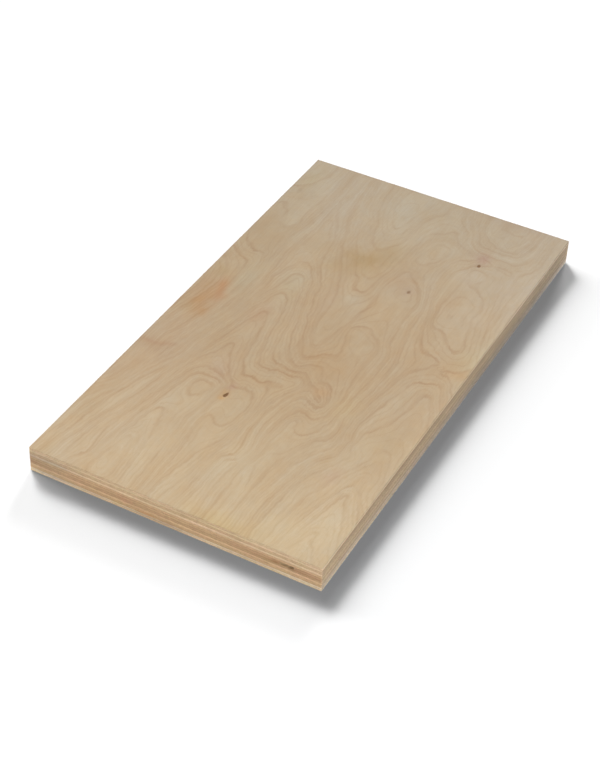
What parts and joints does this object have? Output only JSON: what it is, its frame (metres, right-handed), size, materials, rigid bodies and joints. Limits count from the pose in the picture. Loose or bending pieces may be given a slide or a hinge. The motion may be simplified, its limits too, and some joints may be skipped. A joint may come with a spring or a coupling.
{
  "type": "plywood sheet",
  "caption": "Small rectangular offcut of birch plywood, thin cross-laminated veneers showing along its sawn edges, lying flat with the face grain along its length.",
  "frame": {"origin": "centre of the underside, on the back veneer, where the sheet rests on a floor", "axes": "+X across the face grain, +Y along the face grain and the length, +Z out of the face veneer"},
  "size_m": [0.165, 0.305, 0.015],
  "materials": {
    "face_veneer": "sanded rotary-cut birch, bare",
    "long_grain_veneer": "sawn birch veneer, end grain on the short edges",
    "cross_grain_veneer": "sawn birch veneer, end grain on the long edges",
    "core_veneer": "sawn birch veneer, browner than the others"
  },
  "bodies": {
    "root": {"face_veneer": "face_veneer", "crossband_02": "cross_grain_veneer", "long_band_03": "long_grain_veneer", "crossband_04": "cross_grain_veneer", "long_band_05": "long_grain_veneer", "core_veneer_06": "core_veneer", "long_band_07": "long_grain_veneer", "crossband_08": "cross_grain_veneer", "long_band_09": "long_grain_veneer", "crossband_10": "cross_grain_veneer", "back_veneer": "face_veneer"}
  },
  "joints": []
}
